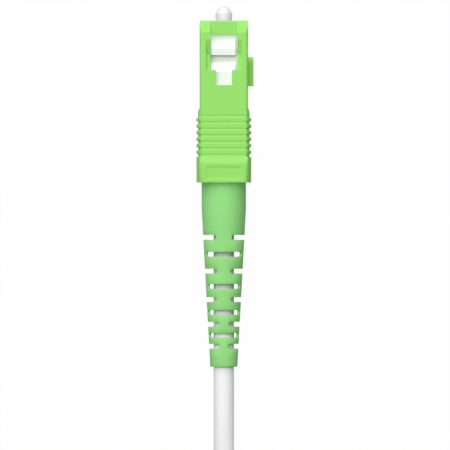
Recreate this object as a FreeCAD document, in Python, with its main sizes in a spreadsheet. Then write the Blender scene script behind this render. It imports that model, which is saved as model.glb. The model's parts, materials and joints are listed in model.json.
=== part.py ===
import FreeCAD, Part
import math
import os
import re

import Sketcher

# A push-pull fibre connector with an angled ferrule, on a one metre lead of 3 mm cable that ends in a
# second connector of the same kind.
# Millimetres. The origin is on the ferrule's axis, in the plane of the coupling sleeve's front face.
# +Y points out of the connector along the ferrule, +X towards the key, +Z out of the window face.
# "Back" is the distance behind the front face, so a place at back b lies at y = -b.

# Every driving size: its name in the sheet, its value and what it measures.
SIZES = {
    # coupling sleeve, the outer housing
    "housing_length": (24.5, "sleeve, front face to rear face"),
    "front_width": (7.33, "sleeve's front part, across the key"),
    "front_height": (9.0, "sleeve's front part, window face to window face"),
    "edge_round": (0.45, "round of the front part's long edges"),
    "nose_chamfer": (0.1, "broken edge round the front face"),
    "lug_slope_back": (1.8, "length of the slopes on the two front lugs"),
    "lug_slope_drop": (0.55, "drop of those slopes at the front face"),
    "window_width": (4.09, "window and nose recess"),
    "nose_recess_back": (2.11, "back of the nose recess, where the window starts"),
    "nose_recess_depth": (0.5, "nose recess"),
    "window_back": (7.5, "back of the window's wide part"),
    "slot_width": (2.48, "window's narrow part"),
    "slot_back": (9.78, "back of the window's narrow part"),
    "cam_width": (5.4, "over both release cams beside the window"),
    "cam_start": (2.93, "start of the cam slope"),
    "cam_floor": (5.14, "start of the cam floor"),
    "cam_depth": (0.6, "cam floor below the window face"),
    "key_reach": (0.84, "key, proud of the side"),
    "key_start": (5.49, "front of the key"),
    "key_end": (9.9, "back of the key"),
    "key_height": (2.0, "key, across"),
    "key_round": (0.75, "rounds at the key's front"),
    "cheek_start": (13.16, "start of the widening before the grip"),
    "grip_start": (13.84, "end of the widening, start of the grip"),
    "grip_width": (7.82, "between the ribs, across the key"),
    "cheek_drop": (0.6, "fall of the widening's corners, from the round of the front part"),
    "rib_start": (14.75, "front of the first rib"),
    "rib_length": (0.47, "a rib"),
    "rib_count": (6, "ribs"),
    "rib_width": (8.3, "over the ribs and the collar, across the key"),
    "valley_depth": (0.05, "dip between two ribs, in the window faces"),
    "valley_fall": (0.2, "length of the slope behind a rib"),
    "valley_rise": (0.3, "length of the slope that rises to the next rib"),
    "collar_start": (20.66, "front of the rear collar"),
    "collar_height": (9.5, "rear collar, window face to window face"),
    "collar_slope_length": (0.95, "slope at the collar's front"),
    "corner_cut_x": (0.51, "corner cut of grip and collar, across the key"),
    "corner_cut_z": (1.9, "the same, along Z"),
    "corner_round": (0.6, "round where the corner cut meets the window face"),
    "panel_width": (5.4, "bare panel in the collar"),
    "panel_start": (21.98, "front of that panel"),
    "panel_end": (24.12, "back of that panel"),
    "panel_slope": (0.32, "width of the slopes at three of the panel's sides"),
    "panel_wall": (0.12, "width of the slope at the side away from the key"),
    "panel_depth": (0.06, "bare panel"),
    "cavity_width": (5.9, "sleeve's cavity for the plug frame, across the key"),
    "cavity_height": (7.0, "the same, window face to window face"),
    "cavity_back": (16.6, "back of that cavity"),
    "rear_bore": (3.5, "radius of the sleeve's rear bore, round the boot"),
    "stop_slot_start": (7.0, "front of the stop slots inside the sleeve's sides"),
    "stop_slot_end": (9.5, "back of the stop slots"),
    "stop_slot_width": (6.6, "over both stop slots"),
    "stop_slot_height": (2.0, "a stop slot, across"),
    # plug frame
    "frame_front": (0.3, "front of the plug frame"),
    "frame_back": (15.0, "back of the plug frame"),
    "frame_width": (5.7, "plug frame, across the key"),
    "frame_height": (6.8, "plug frame over its lands"),
    "frame_waist": (5.3, "plug frame between its lands"),
    "frame_nose": (4.8, "plug frame at its front, window face to window face"),
    "land_left": (1.99, "window lands, reach away from the key"),
    "land_right": (1.77, "window lands, reach towards the key"),
    "catch_start": (2.17, "start of the slope from the frame's nose to the front land"),
    "catch_top": (4.22, "start of the front land's flat"),
    "catch_end": (5.24, "face that the adapter's hooks catch"),
    "rear_land_start": (6.22, "start of the rear land's slope"),
    "rear_land_top": (7.75, "start of the rear land's flat"),
    "rear_block_start": (11.6, "front of the frame's rear block"),
    "nose_bore": (2.2, "radius of the frame's front bore, round the ferrule"),
    "shoulder_start": (4.3, "front of the shoulder that stops the ferrule's flange"),
    "shoulder_end": (4.9, "back of that shoulder"),
    "shoulder_bore": (1.87, "radius of the hole in the shoulder, with room for an alignment sleeve"),
    "seat_flats": (4.1, "hexagonal seat of the flange, across its flats"),
    "seat_end": (7.9, "back of the seat"),
    "chamber_bore": (2.37, "radius of the spring's chamber"),
    "chamber_end": (13.05, "back of the spring's chamber"),
    "stop_lug_start": (8.6, "front of the frame's stop lugs"),
    "stop_lug_length": (0.8, "stop lugs"),
    "stop_lug_width": (6.4, "over both stop lugs"),
    "stop_lug_height": (1.6, "a stop lug, across"),
    "latch_width": (1.6, "latch lugs of the crimp body, across"),
    "latch_start": (13.55, "front of the latch lugs"),
    "latch_end": (14.4, "back of the latch lugs"),
    "latch_reach": (0.33, "latch lugs, proud of the crimp body"),
    "latch_room": (0.1, "room round the latch lugs in the frame's windows"),
    # ferrule, flange and fibre
    "ferrule_radius": (1.25, "ferrule"),
    "ferrule_tip": (2.2, "highest point of the ferrule's end face, ahead of the front face"),
    "cone_base": (1.17, "base of the ferrule's cone, ahead of the front face"),
    "cone_end_radius": (0.6, "radius of the ferrule's end face"),
    "polish_angle": (8.0, "tilt of the ferrule's end face"),
    "ferrule_back": (8.3, "rear end of the ferrule"),
    "ferrule_bore": (0.0635, "radius of the ferrule's bore"),
    "groove_start": (5.05, "front of the ferrule's bond groove, just inside the flange"),
    "groove_end": (5.85, "back of the bond groove"),
    "groove_depth": (0.2, "bond groove"),
    "funnel_radius": (0.5, "mouth of the ferrule's rear funnel"),
    "funnel_length": (1.0, "that funnel"),
    "flange_front": (4.95, "front of the flange"),
    "flange_flats": (4.0, "flange, across its flats"),
    "flange_head_back": (6.3, "back of the flange's head"),
    "flange_tail_radius": (1.5, "flange's tail"),
    "flange_back": (11.5, "back of the flange's tail"),
    "flange_seat": (1.26, "radius of the flange's seat for the ferrule"),
    "flange_bore": (0.5, "radius of the flange's bore for the buffer"),
    "fibre_radius": (0.0625, "bare fibre"),
    "fibre_tip": (2.08, "bare fibre's end, ahead of the front face"),
    "fibre_back": (8.6, "where the buffer starts"),
    "buffer_radius": (0.45, "buffered fibre"),
    # spring and crimp parts
    "spring_radius": (1.78, "mean radius of the spring"),
    "spring_wire": (0.2, "radius of the spring's wire"),
    "spring_turns": (7, "turns of the spring"),
    "head_width": (4.76, "crimp body's head, across the key"),
    "head_height": (5.8, "the same, window face to window face"),
    "head_back": (15.6, "back of the crimp body's head"),
    "head_flange_start": (15.05, "front of the head's flange behind the frame"),
    "head_flange_width": (5.6, "that flange, across the key"),
    "head_flange_height": (6.6, "the same, window face to window face"),
    "barrel_radius": (1.8, "crimp body's barrel"),
    "barrel_back": (22.4, "back of the barrel"),
    "barrel_bore": (0.8, "radius of the crimp body's bore"),
    "knurl_start": (16.6, "first ring groove of the barrel"),
    "knurl_pitch": (0.95, "from groove to groove"),
    "knurl_count": (6, "ring grooves"),
    "knurl_depth": (0.12, "ring grooves"),
    "knurl_length": (0.4, "ring grooves, along the barrel"),
    "guide_start": (13.2, "front of the guide tube"),
    "guide_back": (22.8, "back of the guide tube"),
    "guide_radius": (0.75, "guide tube"),
    "guide_bore": (0.48, "radius of the guide tube's bore"),
    "yarn_start": (16.4, "front of the yarn over the barrel"),
    "yarn_inner": (1.82, "inner radius of the yarn over the barrel"),
    "yarn_outer": (2.14, "outer radius of the yarn over the barrel"),
    "yarn_step": (22.5, "where the yarn leaves the barrel"),
    "yarn_core": (0.47, "inner radius of the yarn in the cable"),
    "yarn_fill": (0.97, "outer radius of the yarn in the cable"),
    "yarn_cable": (23.3, "where the yarn is all inside the cable"),
    "sleeve_start": (16.2, "front of the crimp sleeve"),
    "sleeve_step": (22.55, "start of the crimp sleeve's step"),
    "sleeve_step_end": (23.15, "end of the crimp sleeve's step"),
    "sleeve_back": (27.5, "back of the crimp sleeve"),
    "sleeve_outer": (2.5, "outer radius over the barrel"),
    "sleeve_inner": (2.17, "inner radius over the barrel"),
    "sleeve_small_outer": (1.95, "outer radius over the jacket"),
    "sleeve_small_inner": (1.57, "inner radius over the jacket"),
    # boot
    "boot_start": (18.6, "front of the boot, inside the sleeve"),
    "boot_radius": (3.37, "boot's straight part"),
    "boot_taper_start": (28.4, "start of the boot's taper"),
    "boot_back": (52.45, "rear end of the boot"),
    "boot_end_radius": (2.06, "boot's rear end"),
    "boot_bore": (2.55, "radius of the bore over the crimp sleeve"),
    "boot_bore_back": (28.4, "back of that bore"),
    "boot_hollow": (2.92, "radius of the hollow behind it, at its widest"),
    "boot_hollow_start": (30.0, "where the hollow is widest"),
    "boot_bore_end": (1.83, "radius at the end of the hollow's taper"),
    "boot_throat": (50.3, "start of the boot's throat on the cable"),
    "boot_throat_radius": (1.6, "that throat"),
    "boot_edge": (0.05, "broken edge at the boot's rear end"),
    "slit_height": (0.74, "a slit of the boot, along the cable"),
    # cable
    "cable_radius": (1.55, "cable"),
    "jacket_inner": (1.0, "inner radius of the cable's jacket"),
    "jacket_start": (23.35, "front end of the cable's jacket"),
    "cable_joint": (50.5, "where the free cable starts, inside the boot's end"),
    # lead
    "lead_length": (1000.0, "whole lead, ferrule tip to ferrule tip"),
    "fold_back": (81.0, "centre of the hank's near folds"),
    "fold_inner": (9.4, "radius of the hank's inner turns at the folds"),
    "strand_pitch": (3.1, "from strand to strand in the hank"),
    "climb_length": (26.0, "stretch of the last straight run over which the tail leaves the hank"),
    "tie_gauge": (0.4, "thickness of a tie, which lifts the hank off the table"),
    "tie_length": (4.0, "a tie, along the cable"),
    "tie_tab": (5.0, "overlapping end of a tie"),
    "tie_place": (30.0, "ties, behind the centre of the near folds"),
    "far_across": (1.55, "axis of the far connector, from the near one's towards the key"),
    "far_back": (150.45, "front face of the far connector"),
    "far_gap": (0.1, "room between the hank and the far connector on it"),
}

# From one of the grip's ribs to the next.
RIB_PITCH = "(collar_start - rib_start) / rib_count"

# The boot's slits from front to back: their backs, and the angles from the window face's direction to
# the centres of their rounded ends. Slits under 45 degrees leave webs at the window faces and are cut
# from the sides; the others are cut from the window faces and leave webs at the sides.
SLITS = ((32.84, 29), (35.40, 58), (37.96, 28), (40.28, 55), (42.27, 32),
         (44.22, 63), (46.02, 26), (47.69, 63), (49.36, 26))
for number, (slit_place, slit_angle) in enumerate(SLITS, start=1):
    SIZES[f"slit_back_{number}"] = (slit_place, f"boot's slit {number}")
    SIZES[f"slit_angle_{number}"] = (slit_angle, f"rounded ends of slit {number}, in degrees")

# The free cable's route between the seams inside the two boots. The hank lies between its two parts.
LEAD_ROUTE = ((0, -50.5, 0), (0, -58.5, 0), (0, -72.5, -2.8), (0, -81, -2.8))
TAIL_ROUTE = ((25, -107, 0.3), (24.9, -99.5, 0.6), (24.1, -89.5, 3.6), (23.45, -78.1, 4.6),
              (20.5, -73, 4.7), (15.4, -70.05, 4.75), (9.6, -70.05, 4.75), (4.5, -73, 4.5),
              (1.55, -78.1, 4), (1.55, -84, 3.5), (1.55, -94.5, 6.7), (1.55, -99.95, 6.7))

vector = FreeCAD.Vector
doc = FreeCAD.newDocument("fibre_connector")
sheet = doc.addObject("Spreadsheet::Sheet", "sizes")


def write_size(alias, amount, meaning):
    """Puts a size in the next row of the sheet, under its name."""
    row = len(known_sizes) + 1
    sheet.set(f"A{row}", meaning)
    sheet.set(f"B{row}", str(amount))
    sheet.setAlias(f"B{row}", alias)
    known_sizes.add(alias)


known_sizes = set()
for size_name, (size_value, size_meaning) in SIZES.items():
    write_size(size_name, size_value, size_meaning)
doc.recompute()


# ---------------------------------------------------------------- sketches and features

def size(alias):
    """The value of a named size, read from the sheet."""
    return float(sheet.get(alias))


def formula(text):
    """The text as an expression, in which each named size refers to its cell."""
    return re.sub(r"[a-z_0-9]+", lambda word: ("sizes." if word[0] in known_sizes else "") + word[0], text)


def new_body(label):
    """An empty body; its label is the name of its node."""
    body = doc.addObject("PartDesign::Body", label)
    body.Label = label
    return body


def new_sketch(body, name, role, lift, turn):
    """A sketch on one of the body's origin planes, lifted along the normal and turned about Y."""
    sketch = body.newObject("Sketcher::SketchObject", name)
    plane = next(part for part in body.Origin.OriginFeatures if part.Role == role)
    sketch.AttachmentSupport = [(plane, "")]
    sketch.MapMode = "FlatFace"
    sketch.AttachmentOffset = FreeCAD.Placement(vector(), FreeCAD.Rotation(vector(0, 1, 0), 1.0))
    sketch.setExpression("AttachmentOffset.Rotation.Angle", formula(turn))
    sketch.setExpression("AttachmentOffset.Base.z", formula(lift))
    return sketch


def fix_point(sketch, geometry, point, place):
    """Holds a point of the sketch at a place given as two formulas."""
    for kind, text, axis in (("DistanceX", place[0], -2), ("DistanceY", place[1], -1)):
        if text == "0":
            sketch.addConstraint(Sketcher.Constraint("PointOnObject", geometry, point, axis))
        else:
            number = sketch.addConstraint(Sketcher.Constraint(kind, -1, 1, geometry, point, 1.0))
            sketch.setExpression(f"Constraints[{number}]", formula(text))


def outline(body, name, role, loops, lift="0", turn="0"):
    """A sketch of closed straight-sided loops, each a list of corners given as formulas."""
    sketch = new_sketch(body, name, role, lift, turn)
    for corners in loops:
        count = len(corners)
        first = sketch.GeometryCount
        ring = [FreeCAD.Rotation(vector(0, 0, 1), 360 * k / count) * vector(5, 0, 0) for k in range(count)]
        for k in range(count):
            sketch.addGeometry(Part.LineSegment(ring[k], ring[(k + 1) % count]), False)
        for k in range(count):
            sketch.addConstraint(Sketcher.Constraint("Coincident", first + k, 2, first + (k + 1) % count, 1))
        for k, corner in enumerate(corners):
            fix_point(sketch, first + k, 1, corner)
    return sketch


def rings(body, name, role, circles, lift="0", turn="0"):
    """A sketch of circles, each given by formulas for its centre and its radius."""
    sketch = new_sketch(body, name, role, lift, turn)
    for across, along, radius in circles:
        geometry = sketch.addGeometry(Part.Circle(vector(), vector(0, 0, 1), 1.0), False)
        if (across, along) == ("0", "0"):
            sketch.addConstraint(Sketcher.Constraint("Coincident", geometry, 3, -1, 1))
        else:
            fix_point(sketch, geometry, 3, (across, along))
        number = sketch.addConstraint(Sketcher.Constraint("Radius", geometry, 1.0))
        sketch.setExpression(f"Constraints[{number}]", formula(radius))
    return sketch


def rectangle(half_width, half_height):
    """The corners of a rectangle centred on the axis."""
    return [(f"-({half_width})", f"-({half_height})"), (half_width, f"-({half_height})"),
            (half_width, half_height), (f"-({half_width})", half_height)]


def cut_corner_section(width, height, cut_x, cut_z):
    """The corners of a rectangle, centred on the axis, whose four corners are cut off."""
    wide, tall = f"{width} / 2", f"{height} / 2"
    right = [(f"{wide} - {cut_x}", f"-({tall})"), (wide, f"-({tall} - {cut_z})"),
             (wide, f"{tall} - {cut_z}"), (f"{wide} - {cut_x}", tall)]
    return right + [(f"-({across})", up) for across, up in reversed(right)]


def hexagon(flats):
    """The corners of a hexagon with two flats parallel to the window faces."""
    return [(f"{flats} / 2 / cos(30) * cos({60 * k})", f"{flats} / 2 / cos(30) * sin({60 * k})")
            for k in range(6)]


def both_faces(corners):
    """The loop given as (back, height) corners, and its mirror image at the other window face."""
    return [[(f"-({back})", up) for back, up in corners],
            [(f"-({back})", f"-({up})") for back, up in corners]]


def extrude(body, kind, name, sketch, length, middle=False):
    """A pad or a pocket of the sketch, along the sketch's normal or to both sides of its plane."""
    feature = body.newObject(f"PartDesign::{kind}", name)
    feature.Profile = sketch
    feature.SideType = "Symmetric" if middle else "One side"
    feature.Reversed = kind == "Pocket" and not middle
    feature.setExpression("Length", formula(length))
    return feature


def pad(body, name, sketch, length, middle=False):
    return extrude(body, "Pad", name, sketch, length, middle)


def pocket(body, name, sketch, length, middle=False):
    return extrude(body, "Pocket", name, sketch, length, middle)


def cross_block(body, kind, name, corners, start, end):
    """A pad or a pocket with the given section across the connector, from one back to another."""
    sketch = outline(body, f"{name}_section", "XZ_Plane", [corners], lift=start)
    return extrude(body, kind, name, sketch, f"{end} - ({start})")


def cross_bore(body, kind, name, radius, start, end):
    """A round pad or pocket on the axis, from one back to another."""
    sketch = rings(body, f"{name}_section", "XZ_Plane", [("0", "0", radius)], lift=start)
    return extrude(body, kind, name, sketch, f"{end} - ({start})")


def turned(body, name, corners, cut=False):
    """A turning about the Y axis; its half section is given as (radius, back) corners."""
    loop = [(radius, "0" if back == "0" else f"-({back})") for radius, back in corners]
    sketch = outline(body, f"{name}_section", "XY_Plane", [loop])
    feature = body.newObject("PartDesign::Groove" if cut else "PartDesign::Revolution", name)
    feature.Profile = sketch
    feature.ReferenceAxis = (sketch, ["V_Axis"])
    feature.Angle = 360
    return feature


def repeat(body, name, features, axis_role, pitch, count, backwards):
    """A row of the given features along one of the body's axes."""
    pattern = body.newObject("PartDesign::LinearPattern", name)
    pattern.Originals = features
    axis = next(part for part in body.Origin.OriginFeatures if part.Role == axis_role)
    pattern.Direction = (axis, [""])
    pattern.Reversed = backwards
    pattern.Mode = "Spacing"
    pattern.setExpression("Offset", formula(pitch))
    pattern.setExpression("Occurrences", formula(count))
    body.Tip = pattern
    return pattern


def dress(body, kind, name, base, wanted, amount_property, amount):
    """A fillet or a chamfer on those edges of the base feature that the test picks out."""
    doc.recompute()
    edges = [f"Edge{k}" for k, edge in enumerate(base.Shape.Edges, start=1) if wanted(edge)]
    feature = body.newObject(f"PartDesign::{kind}", name)
    feature.Base = (base, edges)
    feature.setExpression(amount_property, formula(amount))
    return feature


def along_y(edge):
    """Whether an edge is straight and runs along Y."""
    span = edge.BoundBox
    return span.YLength > 1e-3 and span.XLength < 1e-3 and span.ZLength < 1e-3


# ---------------------------------------------------------------- pieces of a connector

def outer_housing(label):
    """The coupling sleeve, which slides on the plug frame: lugs, windows, cams, key, grip and collar."""
    body = new_body(label)
    front = cross_block(body, "Pad", "front", rectangle("front_width / 2", "front_height / 2"),
                        "0", "rib_start")
    dress(body, "Fillet", "front_rounds", front, along_y, "Radius", "edge_round")
    add_grip(body)
    add_collar(body)
    key_side = outline(body, "key_side", "YZ_Plane", [[
        ("-key_start", "-(key_height / 2)"), ("-key_end", "-(key_height / 2)"),
        ("-key_end", "key_height / 2"), ("-key_start", "key_height / 2")]],
        lift="front_width / 2 - edge_round")
    key = pad(body, "key", key_side, "key_reach + edge_round")

    def at_key_front(edge):
        middle, span = edge.CenterOfMass, edge.BoundBox
        return (abs(middle.y + size("key_start")) < 1e-3 and span.YLength < 1e-3 and span.ZLength < 1e-3
                and middle.x > size("front_width") / 2)

    dress(body, "Fillet", "key_rounds", key, at_key_front, "Radius", "key_round")
    cross_block(body, "Pocket", "frame_cavity", rectangle("cavity_width / 2", "cavity_height / 2"),
                "0", "cavity_back")
    cross_bore(body, "Pocket", "boot_bore", "rear_bore", "cavity_back - 0.01", "housing_length + 1")
    cross_block(body, "Pocket", "stop_slots", rectangle("stop_slot_width / 2", "stop_slot_height / 2"),
                "stop_slot_start", "stop_slot_end")
    cut_windows(body)
    return body


def add_grip(body):
    """The grip between the front part and the collar: widened cheeks, and a bar with grooves between ribs."""
    cheeks = outline(body, "cheek_plan", "XY_Plane", [[
        ("-(front_width / 2)", "-cheek_start"), ("front_width / 2", "-cheek_start"),
        ("grip_width / 2", "-grip_start"), ("grip_width / 2", "-rib_start"),
        ("-(grip_width / 2)", "-rib_start"), ("-(grip_width / 2)", "-grip_start")]])
    pad(body, "cheeks", cheeks, "front_height - 2 * edge_round", middle=True)
    top = "(front_height / 2 - edge_round)"
    corners = [[(f"{across}front_width / 2", f"{up}{top}"), (f"{across}grip_width / 2", f"{up}{top}"),
                (f"{across}grip_width / 2", f"{up}({top} - cheek_drop)")]
               for across in ("", "-") for up in ("", "-")]
    cut_off = outline(body, "cheek_corners_section", "XZ_Plane", corners, lift="cheek_start - 0.1")
    pocket(body, "cheek_corners", cut_off, "rib_start - (cheek_start - 0.1)")

    add_rounded_bar(body, "grip", "front_height", "rib_start", "collar_start")
    waist = cut_corner_section("grip_width", "front_height", "corner_cut_x", "corner_cut_z")
    around = outline(body, "groove_section", "XZ_Plane", [rectangle("rib_width", "front_height"), waist],
                     lift="rib_start + rib_length")
    groove = pocket(body, "groove", around, f"{RIB_PITCH} - rib_length")
    repeat(body, "grooves", [groove], "Y_Axis", RIB_PITCH, "rib_count", backwards=True)
    valley_start = f"rib_start - {RIB_PITCH} + rib_length"
    valley_side = outline(body, "valley_side", "YZ_Plane", both_faces([
        (valley_start, "front_height / 2"),
        (f"{valley_start} + valley_fall", "front_height / 2 - valley_depth"),
        ("rib_start - valley_rise", "front_height / 2 - valley_depth"), ("rib_start", "front_height / 2"),
        ("rib_start", "front_height"), (valley_start, "front_height")]))
    valley = pocket(body, "valley", valley_side, "2 * rib_width", middle=True)
    repeat(body, "valleys", [valley], "Y_Axis", RIB_PITCH, "rib_count + 1", backwards=True)


def add_rounded_bar(body, name, height, start, end):
    """A bar as wide as the ribs, whose corner cuts meet the window faces in a round."""
    section = cut_corner_section("rib_width", height, "corner_cut_x", "corner_cut_z")
    bar = cross_block(body, "Pad", name, section, start, end)

    def at_corner_cut(edge):
        middle = edge.CenterOfMass
        across = size("rib_width") / 2 - size("corner_cut_x")
        return (along_y(edge) and middle.y < -size(start)
                and abs(abs(middle.x) - across) < 1e-3 and abs(middle.z) > size(height) / 2 - 1e-3)

    dress(body, "Fillet", f"{name}_rounds", bar, at_corner_cut, "Radius", "corner_round")


def add_collar(body):
    """The collar behind the grip, with a slope at its front and a bare panel in each window face."""
    add_rounded_bar(body, "collar", "collar_height", "collar_start", "housing_length")
    slope = outline(body, "collar_slope_side", "YZ_Plane", both_faces([
        ("collar_start", "front_height / 2"), ("collar_start + collar_slope_length", "collar_height / 2"),
        ("collar_start + collar_slope_length", "collar_height"), ("collar_start", "collar_height")]))
    pocket(body, "collar_slope", slope, "2 * rib_width", middle=True)
    for side in ("", "-"):
        rims = []
        for inset, level in ((0, "collar_height / 2"), (1, "collar_height / 2 - panel_depth")):
            wall, slope = (f"panel_width / 2 - {inset} * {width}" for width in ("panel_wall", "panel_slope"))
            front = f"-(panel_start + {inset} * panel_slope)"
            back = f"-(panel_end - {inset} * panel_slope)"
            corners = [(f"-({wall})", front), (slope, front), (slope, back), (f"-({wall})", back)]
            rims.append(outline(body, "panel_rim", "XY_Plane", [corners], lift=f"{side}({level})"))
        panel = body.newObject("PartDesign::SubtractiveLoft", "panel")
        panel.Profile = rims[0]
        panel.Sections = [rims[1]]
        panel.Ruled = True


def cut_windows(body):
    """The T-shaped windows, the cams beside them, the nose recesses and the slopes of the front lugs."""
    window = outline(body, "window_plan", "XY_Plane", [[
        ("-(window_width / 2)", "-nose_recess_back"), ("-(window_width / 2)", "-window_back"),
        ("-(slot_width / 2)", "-window_back"), ("-(slot_width / 2)", "-slot_back"),
        ("slot_width / 2", "-slot_back"), ("slot_width / 2", "-window_back"),
        ("window_width / 2", "-window_back"), ("window_width / 2", "-nose_recess_back")]])
    pocket(body, "window", window, "2 * front_height", middle=True)
    cams = outline(body, "cam_side", "YZ_Plane", both_faces([
        ("cam_start", "front_height / 2"), ("cam_floor", "front_height / 2 - cam_depth"),
        ("window_back", "front_height / 2 - cam_depth"), ("window_back", "front_height"),
        ("cam_start", "front_height")]))
    pocket(body, "cams", cams, "cam_width", middle=True)
    recess = outline(body, "nose_recess_side", "YZ_Plane", both_faces([
        ("-1", "front_height / 2 - nose_recess_depth"),
        ("nose_recess_back", "front_height / 2 - nose_recess_depth"),
        ("nose_recess_back", "front_height"), ("-1", "front_height")]))
    pocket(body, "nose_recess", recess, "window_width", middle=True)
    lugs = outline(body, "lug_slope_side", "YZ_Plane", both_faces([
        ("-1", "front_height / 2 - lug_slope_drop * (1 + 1 / lug_slope_back)"),
        ("lug_slope_back", "front_height / 2"), ("lug_slope_back", "front_height"),
        ("-1", "front_height")]))
    slopes = pocket(body, "lug_slopes", lugs, "2 * front_width", middle=True)

    def on_nose_rim(edge):
        middle = edge.CenterOfMass
        outside = (abs(middle.x) > size("cavity_width") / 2 + 0.1
                   or abs(middle.z) > size("cavity_height") / 2 + 0.1)
        return abs(middle.y) < 1e-3 and edge.BoundBox.YLength < 1e-3 and outside

    dress(body, "Chamfer", "nose_edge", slopes, on_nose_rim, "Size", "nose_chamfer")


def plug_frame(label):
    """The plug frame: a rectangular tube with window lands, a shoulder for the flange and stop lugs."""
    body = new_body(label)
    cross_block(body, "Pad", "waist", rectangle("frame_width / 2", "frame_waist / 2"),
                "frame_front", "frame_back")
    cross_block(body, "Pad", "rear_block", rectangle("frame_width / 2", "frame_height / 2"),
                "rear_block_start", "frame_back")
    cross_block(body, "Pad", "stop_lugs", rectangle("stop_lug_width / 2", "stop_lug_height / 2"),
                "stop_lug_start", "stop_lug_start + stop_lug_length")
    root = "frame_waist / 2 - 0.1"
    for name, profile in (
        ("catch", [("catch_start", root), ("catch_start", "frame_height / 2"),
                   ("catch_end", "frame_height / 2"), ("catch_end", root)]),
        ("rear_land", [("rear_land_start", root), ("rear_land_start", "frame_waist / 2"),
                       ("rear_land_top", "frame_height / 2"), ("rear_block_start + 0.1", "frame_height / 2"),
                       ("rear_block_start + 0.1", root)]),
    ):
        side = outline(body, f"{name}_side", "YZ_Plane", both_faces(profile), lift="-land_left")
        pad(body, name, side, "land_left + land_right")
    nose = outline(body, "nose_slope_side", "YZ_Plane", both_faces([
        ("frame_front - 0.1", "frame_nose / 2"), ("catch_start", "frame_nose / 2"),
        ("catch_top", "frame_height / 2"), ("catch_top", "frame_height"),
        ("frame_front - 0.1", "frame_height")]))
    pocket(body, "nose_slope", nose, "2 * frame_width", middle=True)
    cross_bore(body, "Pocket", "front_bore", "nose_bore", "frame_front - 0.1", "shoulder_start")
    cross_bore(body, "Pocket", "shoulder_hole", "shoulder_bore", "shoulder_start - 0.1", "shoulder_end + 0.1")
    cross_block(body, "Pocket", "flange_seat", hexagon("seat_flats"), "shoulder_end", "seat_end + 0.1")
    cross_bore(body, "Pocket", "spring_chamber", "chamber_bore", "seat_end", "chamber_end + 0.1")
    cross_block(body, "Pocket", "head_pocket", rectangle("head_width / 2 + 0.04", "head_height / 2 + 0.05"),
                "chamber_end", "frame_back + 0.1")
    latch = outline(body, "latch_plan", "XY_Plane", [[
        (f"{sign}(latch_width / 2 + latch_room)", f"-({back})")
        for sign, back in (("-", "latch_start - latch_room"), ("", "latch_start - latch_room"),
                           ("", "latch_end + latch_room"), ("-", "latch_end + latch_room"))]])
    pocket(body, "latch_windows", latch, "2 * frame_height", middle=True)
    return body


def ferrule(label):
    """The ceramic ferrule: a front cone, an angled end face, a fibre bore and a groove for the bond."""
    body = new_body(label)
    slope = "(ferrule_radius - cone_end_radius) / (ferrule_tip - cone_base)"
    turned(body, "blank", [
        ("ferrule_bore", "-(ferrule_tip + 0.1)"),
        (f"cone_end_radius - 0.1 * {slope}", "-(ferrule_tip + 0.1)"),
        ("ferrule_radius", "-cone_base"), ("ferrule_radius", "groove_start"),
        ("ferrule_radius - groove_depth", "groove_start"), ("ferrule_radius - groove_depth", "groove_end"),
        ("ferrule_radius", "groove_end"), ("ferrule_radius", "ferrule_back - 0.25"),
        ("ferrule_radius - 0.25", "ferrule_back"), ("funnel_radius", "ferrule_back"),
        ("ferrule_bore", "ferrule_back - funnel_length")])
    face = outline(body, "polish_side", "YZ_Plane", [[
        ("ferrule_tip + cone_end_radius * tan(polish_angle)", "-2 * cone_end_radius"),
        ("ferrule_tip - 3 * cone_end_radius * tan(polish_angle)", "2 * cone_end_radius"),
        ("ferrule_tip + 1", "2 * cone_end_radius"), ("ferrule_tip + 1", "-2 * cone_end_radius")]])
    pocket(body, "polished_face", face, "4 * ferrule_radius", middle=True)
    return body


def ferrule_flange(label):
    """The metal flange that holds the ferrule: a hexagonal head and a hollow tail."""
    body = new_body(label)
    cross_block(body, "Pad", "head", hexagon("flange_flats"), "flange_front", "flange_head_back")
    cross_bore(body, "Pad", "tail", "flange_tail_radius", "flange_head_back - 0.1", "flange_back")
    cross_bore(body, "Pocket", "ferrule_seat", "flange_seat", "flange_front - 0.1", "ferrule_back + 0.05")
    cross_bore(body, "Pocket", "buffer_bore", "flange_bore", "ferrule_back", "flange_back + 0.1")
    return body


def round_bar(label, radius, start, end):
    """A plain round bar along the axis, between two backs."""
    body = new_body(label)
    cross_bore(body, "Pad", "bar", radius, start, end)
    return body


def fibre(label):
    """The bare fibre in the ferrule."""
    return round_bar(label, "fibre_radius", "-fibre_tip", "fibre_back")


def buffer(label):
    """The buffered fibre, from the flange to the free cable."""
    return round_bar(label, "buffer_radius", "fibre_back + 0.02", "cable_joint")


def spring(label):
    """The compression spring between the flange's head and the crimp body."""
    body = new_body(label)
    wire = rings(body, "wire_section", "XY_Plane", [
        ("spring_radius", "-(chamber_end - 1.1 * spring_wire)", "spring_wire")])
    coil = body.newObject("PartDesign::AdditiveHelix", "coil")
    coil.Profile = wire
    coil.ReferenceAxis = (wire, ["V_Axis"])
    coil.Mode = "height-turns-angle"
    coil.setExpression("Height", formula("chamber_end - flange_head_back - 2.2 * spring_wire"))
    coil.setExpression("Turns", formula("spring_turns"))
    return body


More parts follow.
